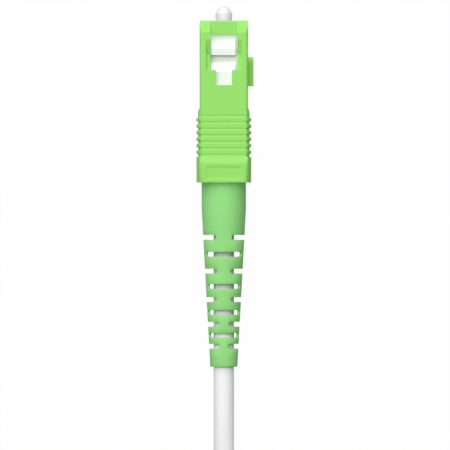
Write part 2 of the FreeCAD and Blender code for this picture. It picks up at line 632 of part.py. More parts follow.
def crimp_body(label):
    """The crimp body: a head that latches in the frame, and a grooved barrel for the yarn."""
    body = new_body(label)
    cross_block(body, "Pad", "head", rectangle("head_width / 2", "head_height / 2"),
                "chamber_end", "head_back")
    cross_block(body, "Pad", "flange", rectangle("head_flange_width / 2", "head_flange_height / 2"),
                "head_flange_start", "head_back")
    latch = outline(body, "latch_side", "YZ_Plane", both_faces([
        ("latch_start", "head_height / 2"), ("latch_end", "head_height / 2 + latch_reach"),
        ("latch_end", "head_height / 2 - 0.1"), ("latch_start", "head_height / 2 - 0.1")]))
    pad(body, "latch_lugs", latch, "latch_width", middle=True)
    cross_bore(body, "Pad", "barrel", "barrel_radius", "head_back - 0.1", "barrel_back")
    groove = turned(body, "ring_groove", [
        ("barrel_radius - knurl_depth", "knurl_start"), ("barrel_radius + 1", "knurl_start"),
        ("barrel_radius + 1", "knurl_start + knurl_length"),
        ("barrel_radius - knurl_depth", "knurl_start + knurl_length")], cut=True)
    repeat(body, "ring_grooves", [groove], "Y_Axis", "knurl_pitch", "knurl_count", backwards=True)
    cross_bore(body, "Pocket", "bore", "barrel_bore", "chamber_end - 0.1", "barrel_back + 0.1")
    return body


def turning(label, corners):
    """A piece that is one turning, given by its half section."""
    body = new_body(label)
    turned(body, "turning", corners)
    return body


def guide_tube(label):
    """The soft tube that guides the buffer through the crimp body."""
    return turning(label, [("guide_bore", "guide_start"), ("guide_radius", "guide_start"),
                           ("guide_radius", "guide_back"), ("guide_bore", "guide_back")])


def aramid_yarn(label):
    """The strength yarn: round the buffer in the cable, then spread over the crimp body's barrel."""
    return turning(label, [
        ("yarn_inner", "yarn_start"), ("yarn_outer", "yarn_start"), ("yarn_outer", "yarn_step"),
        ("yarn_fill", "yarn_cable"), ("yarn_fill", "cable_joint"), ("yarn_core", "cable_joint"),
        ("yarn_core", "yarn_cable"), ("guide_radius + 0.1", "guide_back + 0.05"),
        ("yarn_inner", "yarn_step")])


def crimp_sleeve(label):
    """The crimp sleeve: its wide part grips the yarn on the barrel, its narrow part the jacket."""
    return turning(label, [
        ("sleeve_inner", "sleeve_start"), ("sleeve_outer", "sleeve_start"), ("sleeve_outer", "sleeve_step"),
        ("sleeve_small_outer", "sleeve_step_end"), ("sleeve_small_outer", "sleeve_back"),
        ("sleeve_small_inner", "sleeve_back"), ("sleeve_small_inner", "sleeve_step_end"),
        ("sleeve_inner", "sleeve_step")])


def cable_jacket(label):
    """The cable's jacket inside the connector, from the crimp sleeve to the boot's rear end."""
    return turning(label, [("jacket_inner", "jacket_start"), ("cable_radius", "jacket_start"),
                           ("cable_radius", "cable_joint"), ("jacket_inner", "cable_joint")])


def boot(label):
    """The strain relief boot: a tapered tube with slits cut in turn from the sides and the window faces."""
    body = turning(label, [
        ("boot_bore", "boot_start"), ("boot_radius", "boot_start"), ("boot_radius", "boot_taper_start"),
        ("boot_end_radius", "boot_back - boot_edge"), ("boot_end_radius - boot_edge", "boot_back"),
        ("boot_throat_radius", "boot_back"), ("boot_throat_radius", "boot_throat"),
        ("boot_bore_end", "boot_throat"), ("boot_hollow", "boot_hollow_start"),
        ("boot_bore", "boot_bore_back")])
    for k, (_, angle) in enumerate(SLITS, start=1):
        middle = 90 if angle < 45 else 0
        fans = []
        for heading in (middle, middle + 180):
            swing = f"abs(slit_angle_{k} - {middle})"
            spokes = (("0.5", f"-{swing}"), ("2 * boot_radius", f"-{swing}"), ("2 * boot_radius", "0"),
                      ("2 * boot_radius", swing), ("0.5", swing))
            fans.append([(f"{reach} * sin({heading} + {turn})", f"{reach} * cos({heading} + {turn})")
                         for reach, turn in spokes])
        plan = outline(body, f"slit_{k}_section", "XZ_Plane", fans, lift=f"slit_back_{k}")
        pocket(body, f"slit_{k}", plan, "slit_height", middle=True)
    for end_angle in sorted({angle for _, angle in SLITS}):
        numbers = [k for k, (_, angle) in enumerate(SLITS, start=1) if angle == end_angle]
        for sign in ("", "-"):
            circles = [("0", f"-slit_back_{k}", "slit_height / 2") for k in numbers]
            ends = rings(body, "slit_end_plan", "XY_Plane", circles, turn=f"{sign}slit_angle_{numbers[0]}")
            pocket(body, "slit_ends", ends, "4 * boot_radius", middle=True)
    return body


# ---------------------------------------------------------------- the lead

def bent_tube(label, route):
    """A stretch of cable along straight runs joined by tangent arcs, each as large as its runs allow."""
    points = [vector(*place) for place in route]
    edges = []
    radii = []
    start = points[0]
    for before, corner, after in zip(points, points[1:], points[2:]):
        run_in, run_out = corner - before, after - corner
        half_turn = run_in.getAngle(run_out) / 2
        reach = 0.45 * min(run_in.Length, run_out.Length)
        radii.append(reach / math.tan(half_turn))
        arc_start = corner - run_in.normalize() * reach
        arc_end = corner + run_out.normalize() * reach
        inwards = ((arc_start + arc_end) * 0.5 - corner).normalize()
        middle = corner + inwards * radii[-1] * (1 / math.cos(half_turn) - 1)
        edges.append(Part.LineSegment(start, arc_start).toShape())
        edges.append(Part.Arc(arc_start, middle, arc_end).toShape())
        start = arc_end
    edges.append(Part.LineSegment(start, points[-1]).toShape())
    path = Part.Wire(edges)
    radius = size("cable_radius")
    disc = Part.Face(Part.Wire(Part.makeCircle(radius, points[0], points[1] - points[0])))
    solid = path.makePipe(disc)
    expected = math.pi * radius ** 2 * path.Length
    if abs(solid.Volume / expected - 1) > 0.01:
        raise RuntimeError(f"{label}: volume {solid.Volume:.1f}, expected {expected:.1f}")
    print(f"{label}: length {path.Length:.1f}, radii " + ", ".join(f"{radius:.1f}" for radius in radii))
    tube = doc.addObject("Part::Feature", label)
    tube.Label = label
    tube.Shape = solid
    return tube, path.Length


def hank_run(lead_part, tail_part):
    """The length of the hank's straight runs that makes the whole lead its stated length.

    The cable goes round four times, in a bundle of two strands by two: outer, inner, inner, outer.
    Each near fold takes it to the next place, and the tail replaces the last one.
    """
    inner = size("fold_inner")
    outer = inner + size("strand_pitch")
    free = size("lead_length") - 2 * (size("ferrule_tip") + size("cable_joint"))
    folds = math.pi * (2 * outer + 2 * inner) + math.pi * (outer + 2 * inner)
    return (free - lead_part - tail_part - folds + size("climb_length")) / 8


def cable_hank(label):
    """The folded cable as one solid of its outer shape: two straight bundles joined by two half rings."""
    body = new_body(label)
    centre = "fold_inner + strand_pitch"
    bottom = "tie_gauge - collar_height / 2"
    thickness = "strand_pitch + 2 * cable_radius"
    near, far = "-fold_back", "-(fold_back + fold_run)"
    for kind, name, reach in (("Pad", "outer", "fold_inner + strand_pitch + cable_radius"),
                              ("Pocket", "inner", "fold_inner - cable_radius")):
        sides = [(f"{centre} - ({reach})", near), (f"{centre} - ({reach})", far),
                 (f"{centre} + {reach}", far), (f"{centre} + {reach}", near)]
        runs = outline(body, f"{name}_runs_plan", "XY_Plane", [sides], lift=bottom)
        solid = extrude(body, kind, f"{name}_runs", runs, thickness)
        for end, place in (("near", near), ("far", far)):
            disc = rings(body, f"{name}_{end}_plan", "XY_Plane", [(centre, place, reach)], lift=bottom)
            solid = extrude(body, kind, f"{name}_{end}", disc, thickness)

    def level(edge):
        return edge.BoundBox.ZLength < 1e-3

    dress(body, "Fillet", "outer_strands", solid, level, "Radius", "cable_radius")
    return body


def hank_tie(label, across):
    """A strap round the four strands of one straight bundle, with its overlapping end on top."""
    body = new_body(label)
    start, end = (f"fold_back + tie_place {sign} tie_length / 2" for sign in "-+")
    level = "(tie_gauge - collar_height / 2 + 2 * cable_radius)"
    top = f"{level} + 2 * cable_radius + tie_gauge"

    def block(wide, low, high):
        return [(f"{across} - ({wide})", low), (f"{across} + {wide}", low),
                (f"{across} + {wide}", high), (f"{across} - ({wide})", high)]

    def centred(wide, tall):
        return block(wide, f"{level} - ({tall})", f"{level} + {tall}")

    strap = cross_block(body, "Pad", "strap", centred("2 * cable_radius + tie_gauge",
                                                      "2 * cable_radius + tie_gauge"), start, end)
    dress(body, "Fillet", "strap_rounds", strap, along_y, "Radius", "cable_radius + tie_gauge")
    room = f"{start} - 1", f"{end} + 1"
    cross_block(body, "Pocket", "room_across", centred("2 * cable_radius", "cable_radius"), *room)
    cross_block(body, "Pocket", "room_upright", centred("cable_radius", "2 * cable_radius"), *room)
    for sign in "-+":
        pair = [(f"{across} - cable_radius", f"{level} {sign} cable_radius", "cable_radius"),
                (f"{across} + cable_radius", f"{level} - ({sign} cable_radius)", "cable_radius")]
        strands = rings(body, "strands", "XZ_Plane", pair, lift=room[0])
        pocket(body, "strand_room", strands, f"{room[1]} - ({room[0]})")
    cross_block(body, "Pad", "tab", block("tie_tab / 2", f"{top} - 0.01", f"{top} + tie_gauge"), start, end)
    return body


# ---------------------------------------------------------------- the whole part

pieces = []
far_height = size("tie_gauge") + 4 * size("cable_radius") + size("far_gap")
far_place = FreeCAD.Placement(vector(size("far_across"), -size("far_back"), far_height),
                              FreeCAD.Rotation(vector(0, 0, 1), 180))
for prefix, connector_place in (("", FreeCAD.Placement()), ("far_", far_place)):
    for make in (outer_housing, plug_frame, ferrule, ferrule_flange, fibre, spring, crimp_body, guide_tube,
                 crimp_sleeve, aramid_yarn, buffer, cable_jacket, boot):
        piece = make(f"{prefix}{make.__name__}")
        piece.Placement = connector_place
        pieces.append(piece)

cable_lead, lead_part_length = bent_tube("cable_lead", LEAD_ROUTE)
cable_tail, tail_part_length = bent_tube("cable_tail", TAIL_ROUTE)
write_size("fold_run", round(hank_run(lead_part_length, tail_part_length), 3), "hank's straight runs")
doc.recompute()
print(f"hank's straight runs {size('fold_run'):.2f}")
pieces += [cable_lead, cable_tail, cable_hank("cable_hank"),
           hank_tie("hank_tie_left", "cable_radius"),
           hank_tie("hank_tie_right", "cable_radius + 2 * fold_inner + strand_pitch")]
doc.recompute()

failed = [thing.Label for thing in doc.Objects if {"Invalid", "Error"} & set(thing.State)]
failed += [piece.Label for piece in pieces if piece.Shape.isNull() or not piece.Shape.isValid()]
if failed:
    raise RuntimeError("not built: " + ", ".join(failed))
os.makedirs("parts", exist_ok=True)
for piece in pieces:
    piece.Shape.exportStep(f"parts/{piece.Label}.step")
    box = piece.Shape.BoundBox
    print(f"{piece.Label}: {len(piece.Shape.Solids)} solid, {piece.Shape.Volume:.2f} mm3, "
          f"x {box.XMin:.2f} {box.XMax:.2f}, y {box.YMin:.2f} {box.YMax:.2f}, "
          f"z {box.ZMin:.2f} {box.ZMax:.2f}")
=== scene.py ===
"""Dresses the fibre connector, its lead and its far connector, and sets up the stage round them.

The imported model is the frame: x towards the key, y out of the near connector along its ferrule, z up.
Lengths are in metres. Sizes written in the classes are in millimetres and are scaled by MM.
"""

import json
import logging
import math
from dataclasses import dataclass, field, fields
from enum import Enum

import bpy
import numpy as np
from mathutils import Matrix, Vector

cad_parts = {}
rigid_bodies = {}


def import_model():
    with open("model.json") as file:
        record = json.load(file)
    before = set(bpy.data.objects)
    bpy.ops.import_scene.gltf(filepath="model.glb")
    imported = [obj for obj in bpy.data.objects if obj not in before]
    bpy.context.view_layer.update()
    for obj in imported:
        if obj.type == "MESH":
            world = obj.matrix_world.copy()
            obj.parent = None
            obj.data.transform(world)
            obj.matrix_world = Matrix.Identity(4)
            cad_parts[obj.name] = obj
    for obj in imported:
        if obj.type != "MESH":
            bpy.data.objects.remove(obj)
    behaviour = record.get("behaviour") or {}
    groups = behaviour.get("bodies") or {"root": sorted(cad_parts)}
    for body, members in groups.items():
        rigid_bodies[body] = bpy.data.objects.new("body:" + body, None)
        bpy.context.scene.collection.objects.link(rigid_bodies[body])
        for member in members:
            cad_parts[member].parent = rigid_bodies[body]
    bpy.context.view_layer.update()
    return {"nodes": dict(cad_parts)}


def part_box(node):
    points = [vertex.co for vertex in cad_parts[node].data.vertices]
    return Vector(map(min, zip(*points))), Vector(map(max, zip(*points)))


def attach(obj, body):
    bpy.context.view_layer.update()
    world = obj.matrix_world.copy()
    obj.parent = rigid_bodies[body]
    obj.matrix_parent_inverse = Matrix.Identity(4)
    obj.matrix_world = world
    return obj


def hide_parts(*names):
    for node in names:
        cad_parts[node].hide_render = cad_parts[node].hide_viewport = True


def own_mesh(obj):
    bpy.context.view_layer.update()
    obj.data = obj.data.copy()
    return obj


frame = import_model()

MM = 0.001
LOG = logging.getLogger("fibre_connector")
Colour = tuple[float, float, float]
Point = tuple[float, float, float]
EVEN: Colour = (1.0, 1.0, 1.0)  # alike in red, green and blue


class End(Enum):
    """The two ends of the lead."""

    NEAR = ""
    FAR = "far_"

    def own(self, name: str) -> str:
        """The name that a node, a piece or a joint of the connector has at this end."""
        return self.value + name


def linear(red: int, green: int, blue: int) -> Colour:
    """A colour in linear light.

    Args:
        red: Red, from 0 to 255, as a screen shows it.
        green: Green, in the same way.
        blue: Blue, in the same way.

    Returns:
        The three values in linear light, from 0 to 1.
    """
    shown = np.array([red, green, blue]) / 255
    light = np.where(shown <= 0.04045, shown / 12.92, ((shown + 0.055) / 1.055) ** 2.4)
    return tuple(float(value) for value in light)


# ---------------------------------------------------------------- node trees


class Graph:
    """A node tree under construction."""

    def __init__(self, tree: bpy.types.NodeTree) -> None:
        """Takes the tree that the nodes go in."""
        self.nodes = tree.nodes
        self.links = tree.links

    def feed(self, node: bpy.types.Node, inputs: dict[str | int, object]) -> None:
        """Gives a node its inputs.

        Args:
            node: The node.
            inputs: For each input, by its name or number, a value or another node's socket to link.
        """
        for key, value in inputs.items():
            if isinstance(value, bpy.types.NodeSocket):
                self.links.new(value, node.inputs[key])
            else:
                node.inputs[key].default_value = value

    def add(self, kind: str, inputs: dict[str | int, object], **settings: object) -> bpy.types.Node:
        """Adds a node.

        Args:
            kind: The node's type.
            inputs: What its inputs are given, as for feed.
            **settings: Properties of the node, by name.

        Returns:
            The new node.
        """
        node = self.nodes.new(kind)
        for key, value in settings.items():
            setattr(node, key, value)
        self.feed(node, inputs)
        return node

    def worked_out(self, operation: str, *terms: object) -> bpy.types.NodeSocket:
        """The result of an operation on numbers, each a value or a socket."""
        return self.add("ShaderNodeMath", dict(enumerate(terms)), operation=operation).outputs[0]

    def direct_rays(self) -> bpy.types.NodeSocket:
        """A socket that is 1 for rays from the camera, from a reflection and through glass, and else 0."""
        rays = self.add("ShaderNodeLightPath", {}).outputs
        seen = self.worked_out("MAXIMUM", rays["Is Camera Ray"], rays["Is Glossy Ray"])
        return self.worked_out("MAXIMUM", seen, rays["Is Transmission Ray"])


class Surface(Graph):
    """A material under construction, with short ways to add what every finish needs."""

    def __init__(self, name: str) -> None:
        """Starts an empty material with a Principled surface."""
        self.material = bpy.data.materials.new(name)
        self.material.use_nodes = True
        super().__init__(self.material.node_tree)
        self.shader = self.nodes["Principled BSDF"]
        self.place = self.add("ShaderNodeTexCoord", {}).outputs["Object"]

    def set(self, **values: object) -> None:
        """Sets inputs of the surface by name, with underscores for the spaces in their names."""
        self.feed(self.shader, {key.replace("_", " "): value for key, value in values.items()})

    def stretched(self, x: float = 1.0, y: float = 1.0, z: float = 1.0) -> bpy.types.NodeSocket:
        """Object coordinates multiplied axis by axis."""
        scaled = self.add("ShaderNodeMapping", {"Vector": self.place, "Scale": (x, y, z)})
        return scaled.outputs["Vector"]

    def noise(self, grain: float, detail: float = 2.0, where: bpy.types.NodeSocket | None = None,
              ) -> bpy.types.NodeSocket:
        """Noise from 0 to 1.

        Args:
            grain: The size of its grains, in metres.
            detail: How many finer layers it has.
            where: The coordinates it reads, or None for object coordinates.

        Returns:
            The noise's value.
        """
        return self.add("ShaderNodeTexNoise", {"Scale": 1 / grain, "Detail": detail,
                                               "Vector": where or self.place}).outputs["Fac"]

    def tinted(self, value: bpy.types.NodeSocket, dark: Colour, light: Colour) -> None:
        """Colours the surface from dark to light as a value goes from 0 to 1."""
        ramp = self.add("ShaderNodeValToRGB", {"Fac": value})
        for stop, colour in zip(ramp.color_ramp.elements, (dark, light)):
            stop.color = (*colour, 1.0)
        self.set(Base_Color=ramp.outputs["Color"])

    def rough_by(self, value: bpy.types.NodeSocket, low: float, high: float) -> None:
        """Gives the surface a roughness from low to high as a value goes from 0 to 1."""
        spread = self.add("ShaderNodeMapRange", {"Value": value, "To Min": low, "To Max": high})
        self.set(Roughness=spread.outputs["Result"])

    def bumped(self, height: bpy.types.NodeSocket, depth: float) -> None:
        """Raises the surface by up to a depth, in metres, where a height goes from 0 to 1."""
        bump = self.add("ShaderNodeBump", {"Height": height, "Distance": depth})
        self.set(Normal=bump.outputs["Normal"])


# ---------------------------------------------------------------- finishes


def shade(colour: Colour, factor: float) -> Colour:
    """The colour made lighter or darker by a factor."""
    return tuple(min(1.0, value * factor) for value in colour)


@dataclass(frozen=True)
class MouldedPlastic:
    """Moulded plastic: an even colour with faint flow marks, and the fine grain of a spark-eroded mould.

    The sizes of marks and grains are in metres, here and in the other finishes.
    """

    name: str
    colour: Colour
    roughness: float = 0.38
    roughness_spread: float = 0.06
    gloss: float = 0.5
    mottle: float = 0.025
    flow_mark: float = 0.004
    flow_stretch: float = 0.35
    rub_mark: float = 0.0009
    grain: float = 0.00012
    grain_depth: float = 0.0000015

    def material(self) -> bpy.types.Material:
        """Builds the material."""
        surface = Surface(self.name)
        flow = surface.noise(self.flow_mark, 3.0, surface.stretched(y=self.flow_stretch))
        surface.tinted(flow, shade(self.colour, 1 - self.mottle), shade(self.colour, 1 + self.mottle))
        surface.rough_by(surface.noise(self.rub_mark, 4.0), self.roughness - self.roughness_spread,
                         self.roughness + self.roughness_spread)
        surface.set(Specular_IOR_Level=self.gloss, IOR=1.5)
        surface.bumped(surface.noise(self.grain), self.grain_depth)
        return surface.material


@dataclass(frozen=True)
class Ceramic:
    """Zirconia, ground along its length and polished: white, dense and glossy, with fine streaks along it;
    their lighter bands in the colour are painted reflection.
    """

    name: str
    colour: Colour
    streak: float = 0.00022
    streak_stretch: float = 0.03
    shades: tuple[float, float] = (0.94, 1.03)
    roughness: tuple[float, float] = (0.3, 0.42)
    glow: float = 0.5
    glow_depth: float = 0.001

    def material(self) -> bpy.types.Material:
        """Builds the material."""
        surface = Surface(self.name)
        # The streaks vary the colour and the roughness along the ferrule; their lighter bands in the colour
        # are painted reflection bands along the cylinder.
        streaks_and_painted_reflections = surface.noise(self.streak, 3.0, surface.stretched(y=self.streak_stretch))
        surface.tinted(streaks_and_painted_reflections, *(shade(self.colour, factor) for factor in self.shades))
        surface.rough_by(streaks_and_painted_reflections, *self.roughness)
        surface.set(Specular_IOR_Level=0.25, IOR=1.9, Subsurface_Weight=self.glow,
                    Subsurface_Radius=EVEN, Subsurface_Scale=self.glow_depth)
        return surface.material


@dataclass(frozen=True)
class TurnedMetal:
    """Plated metal turned on a lathe: rings of fine tool marks round the y axis."""

    name: str
    colour: Colour
    roughness: float = 0.28
    smoother: float = 0.08
    rougher: float = 0.1
    dark_shade: float = 0.9
    tool_mark: float = 0.00006
    tool_mark_stretch: float = 0.02
    tool_mark_depth: float = 0.000002

    def material(self) -> bpy.types.Material:
        """Builds the material."""
        surface = Surface(self.name)
        around = surface.stretched(x=self.tool_mark_stretch, z=self.tool_mark_stretch)
        rings = surface.noise(self.tool_mark, 2.0, around)
        surface.tinted(rings, shade(self.colour, self.dark_shade), self.colour)
        surface.set(Metallic=1.0)
        surface.rough_by(rings, self.roughness - self.smoother, self.roughness + self.rougher)
        surface.bumped(rings, self.tool_mark_depth)
        return surface.material


@dataclass(frozen=True)
class CableJacket:
    """Extruded cable jacket: smooth and slightly waxy, with soft mottling and a fine grain."""

    name: str
    colour: Colour
    haze_size: float = 0.0022
    shades: tuple[float, float] = (0.975, 1.01)
    roughness: tuple[float, float] = (0.36, 0.5)
    glow: float = 0.05
    glow_depth: float = 0.0004
    grain: float = 0.0003
    grain_depth: float = 0.000003

    def material(self) -> bpy.types.Material:
        """Builds the material."""
        surface = Surface(self.name)
        haze = surface.noise(self.haze_size, 3.0)
        surface.tinted(haze, *(shade(self.colour, factor) for factor in self.shades))
        surface.rough_by(haze, *self.roughness)
        surface.set(Specular_IOR_Level=0.4, IOR=1.47, Subsurface_Weight=self.glow,
                    Subsurface_Radius=EVEN, Subsurface_Scale=self.glow_depth)
        surface.bumped(surface.noise(self.grain), self.grain_depth)
        return surface.material


@dataclass(frozen=True)
class Yarn:
    """Strength yarn: golden filaments along the cable."""

    name: str
    colour: Colour
    filament: float = 0.00008
    filament_stretch: float = 0.04
    filament_depth: float = 0.00004
    shades: tuple[float, float] = (0.6, 1.2)

    def material(self) -> bpy.types.Material:
        """Builds the material."""
        surface = Surface(self.name)
        filaments = surface.noise(self.filament, 3.0, surface.stretched(y=self.filament_stretch))
        surface.tinted(filaments, *(shade(self.colour, factor) for factor in self.shades))
        surface.set(Roughness=0.55, Sheen_Weight=0.3)
        surface.bumped(filaments, self.filament_depth)
        return surface.material


@dataclass(frozen=True)
class ClearGlass:
    """Fused glass, clear and smooth, clouded a little by its coating's remains."""

    name: str
    colour: Colour
    cloud: float = 0.0005
    cloud_shade: float = 0.97

    def material(self) -> bpy.types.Material:
        """Builds the material."""
        surface = Surface(self.name)
        clouds = surface.noise(self.cloud, 1.0)
        surface.tinted(clouds, shade(self.colour, self.cloud_shade), self.colour)
        surface.set(Roughness=0.03, IOR=1.46, Transmission_Weight=0.9)
        return surface.material


@dataclass(frozen=True)
class WovenStrap:
    """A thin white strap with fine cross ribs."""

    name: str
    colour: Colour
    rib_pattern: float = 0.0009
    rib_waver: float = 0.6
    rib_shade: float = 0.93
    rib_depth: float = 0.00003

    def material(self) -> bpy.types.Material:
        """Builds the material."""
        surface = Surface(self.name)
        wave = surface.add("ShaderNodeTexWave", {
            "Vector": surface.place, "Scale": 1 / self.rib_pattern, "Distortion": self.rib_waver},
            bands_direction="Y")
        ribs = wave.outputs["Fac"]
        surface.tinted(ribs, shade(self.colour, self.rib_shade), self.colour)
        surface.set(Roughness=0.6, Specular_IOR_Level=0.35)
        surface.bumped(ribs, self.rib_depth)
        return surface.material


@dataclass(frozen=True)
class Finishes:
    """The finish of every kind of piece."""

    housing: MouldedPlastic = MouldedPlastic("moulded_green", linear(143, 212, 102), roughness=0.5, gloss=0.1)
    boot: MouldedPlastic = MouldedPlastic("soft_green", linear(142, 211, 125), roughness=0.55, gloss=0.1)
    plug_frame: MouldedPlastic = MouldedPlastic("moulded_white", linear(221, 225, 220), roughness=0.4,
                                                mottle=0.008)
    ferrule: Ceramic = Ceramic("zirconia", linear(213, 213, 213))
    metal: TurnedMetal = TurnedMetal("nickel_plated", linear(205, 204, 198))
    brass: TurnedMetal = TurnedMetal("plated_brass", linear(222, 200, 150), roughness=0.32)
    spring_steel: TurnedMetal = TurnedMetal("spring_steel", linear(190, 190, 190), roughness=0.22)
    guide: MouldedPlastic = MouldedPlastic("soft_tube", linear(228, 230, 228), roughness=0.3)
    buffer: MouldedPlastic = MouldedPlastic("buffer_white", linear(236, 236, 230), roughness=0.42)
    cable: CableJacket = CableJacket("cable_white", linear(237, 237, 237))
    yarn: Yarn = Yarn("aramid", linear(226, 196, 110))
    glass: ClearGlass = ClearGlass("fibre_glass", linear(245, 250, 255))
    strap: WovenStrap = WovenStrap("strap_white", linear(232, 233, 233))


class Palette:
    """Builds each finish once and hands it to the pieces."""

    def __init__(self, finishes: Finishes) -> None:
        """Builds every finish's material."""
        self.materials = {kind.name: getattr(finishes, kind.name).material() for kind in fields(finishes)}

    def dress(self, piece: bpy.types.Object, finish: str) -> None:
        """Gives a piece one finish all over."""
        piece.data.materials.clear()
        piece.data.materials.append(self.materials[finish])


# ---------------------------------------------------------------- meshes


def grid_mesh(name: str, points: np.ndarray, wraps: bool) -> bpy.types.Object:
    """Makes a piece from a grid of points.

    The point in row i and column j is joined to its neighbours (i + 1, j) and (i, j + 1). Where the grid
    wraps, the last column is joined to the first, and each end row is closed by a fan to its middle.

    Args:
        name: The piece's name.
        points: The points, in metres, as an array of rows by columns by 3.
        wraps: Whether the columns go round, as on a tube.

    Returns:
        The new object, smooth-shaded and linked to the scene.
    """
    rows, columns = points.shape[:2]
    index = np.arange(rows * columns).reshape(rows, columns)
    across = np.hstack([index, index[:, :1]]) if wraps else index
    quads = np.stack([across[:-1, :-1], across[:-1, 1:], across[1:, 1:], across[1:, :-1]], -1).reshape(-1, 4)
    vertices = points.reshape(-1, 3)
    faces = quads.tolist()
    if wraps:
        middles = points[[0, -1]].mean(axis=1)
        first = np.column_stack([across[0, 1:], across[0, :-1], np.full(columns, len(vertices))])
        last = np.column_stack([across[-1, :-1], across[-1, 1:], np.full(columns, len(vertices) + 1)])
        vertices = np.vstack([vertices, middles])
        faces += first.tolist() + last.tolist()
    mesh = bpy.data.meshes.new(name)
    mesh.from_pydata(vertices.tolist(), [], faces)
    mesh.polygons.foreach_set("use_smooth", np.ones(len(mesh.polygons), bool))
    mesh.update()
    piece = bpy.data.objects.new(name, mesh)
    bpy.context.scene.collection.objects.link(piece)
    return piece


def tube_along(centres: np.ndarray, sides: np.ndarray, ups: np.ndarray, radius: float,
               facets: int) -> np.ndarray:
    """A round tube's points: centre + radius * (cos v * side + sin v * up), v going once round.

    Args:
        centres: The points of the tube's middle line.
        sides: A unit vector across the tube at each of them.
        ups: A second unit vector across the tube, square to the first.
        radius: The tube's radius.
        facets: How many points go round it.

    Returns:
        The points, as an array of rows by facets by 3.
    """
    turn = np.linspace(0, 2 * math.pi, facets, endpoint=False)[None, :, None]
    return centres[:, None] + radius * (np.cos(turn) * sides[:, None] + np.sin(turn) * ups[:, None])


@dataclass(frozen=True)
class EdgeWork:
    """How a CAD piece's edges are broken. Angles are in degrees.

    A piece that is mostly of flat faces has each of them made one face, and kept evenly shaded up to its
    edges, also where two of them meet at a slight angle.
    """

    flat_sided: bool
    bevel_angle: float
    face_weight: int
    weld_distance: float = 0.0000005
    flat_angle: float = 0.4
    segments: int = 2


FLAT_WORK = EdgeWork(flat_sided=True, bevel_angle=8, face_weight=100)
ROUND_WORK = EdgeWork(flat_sided=False, bevel_angle=30, face_weight=50)


def soften_edges(piece: bpy.types.Object, width: float, work: EdgeWork) -> None:
    """Joins a CAD piece's facets and breaks its sharp edges with a small round.

    Args:
        piece: The piece.
        width: The round's width, in metres.
        work: How the edges are broken.
    """
    weld = piece.modifiers.new("weld", "WELD")
    weld.merge_threshold = work.weld_distance
    if work.flat_sided:
        faces = piece.modifiers.new("flat_faces", "DECIMATE")
        faces.decimate_type = "DISSOLVE"
        faces.angle_limit = math.radians(work.flat_angle)
    bevel = piece.modifiers.new("edges", "BEVEL")
    bevel.width = width
    bevel.segments = work.segments
    bevel.limit_method = "ANGLE"
    bevel.angle_limit = math.radians(work.bevel_angle)
    bevel.use_clamp_overlap = True
    level = piece.modifiers.new("level_faces", "WEIGHTED_NORMAL")
    level.mode = "FACE_AREA"
    level.weight = work.face_weight
    piece.data.polygons.foreach_set("use_smooth", np.ones(len(piece.data.polygons), bool))


# ---------------------------------------------------------------- the connector


